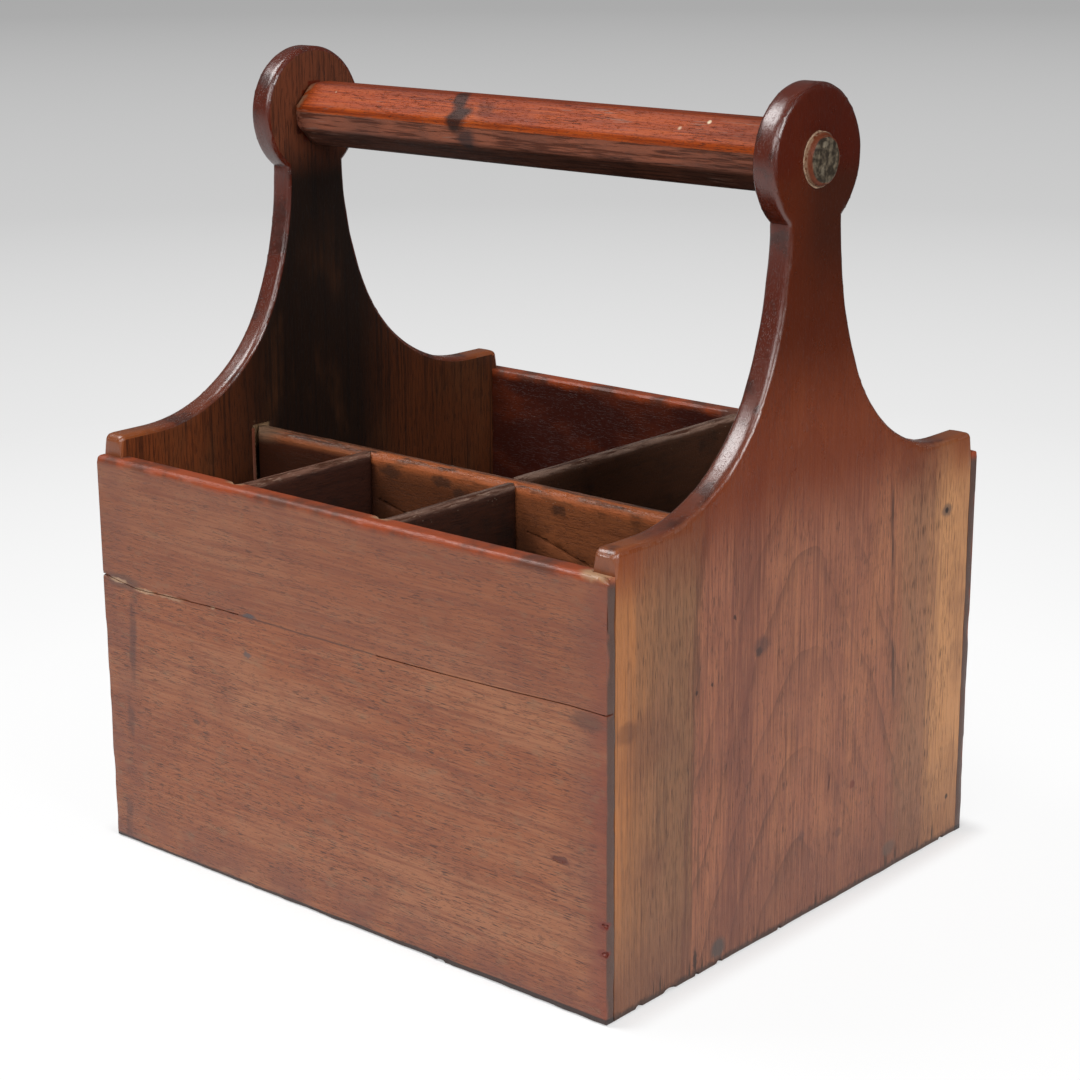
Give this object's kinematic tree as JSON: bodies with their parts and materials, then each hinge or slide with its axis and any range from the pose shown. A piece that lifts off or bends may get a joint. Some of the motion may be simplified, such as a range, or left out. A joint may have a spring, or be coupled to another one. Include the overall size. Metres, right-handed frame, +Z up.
{
  "type": "divided carrier with handle",
  "caption": "Open wooden carrier with shaped ends, a fixed handle rail across the top and divided compartments for tools or bottles.",
  "frame": {"origin": "middle of the rectangle that the object stands on, at the height of the floor", "axes": "+X along the front from left to right, +Y from front to back, +Z up"},
  "size_m": [0.307, 0.264, 0.3595],
  "materials": {
    "side_wood": "worn satin polish, reddish brown, horizontal grain",
    "end_wood": "worn satin polish, dark red brown, upright grain",
    "divider_wood": "dusty, greyed brown with rubbed top edges",
    "bottom_wood": "dry, unpolished, dark brown",
    "rail_wood": "rubbed by hands, orange brown",
    "brad_iron": "dark iron"
  },
  "bodies": {
    "root": {"left_end_panel": "end_wood", "right_end_panel": "end_wood", "front_board": "side_wood", "back_board": "side_wood", "bottom_board": "bottom_wood", "long_divider": "divider_wood", "front_left_divider": "divider_wood", "front_right_divider": "divider_wood", "rear_divider": "divider_wood", "handle_rail": "rail_wood", "left_bottom_brads": "brad_iron", "right_bottom_brads": "brad_iron", "front_bottom_brads": "brad_iron", "back_bottom_brads": "brad_iron", "front_lap_brads": "brad_iron", "back_lap_brads": "brad_iron"}
  },
  "joints": []
}
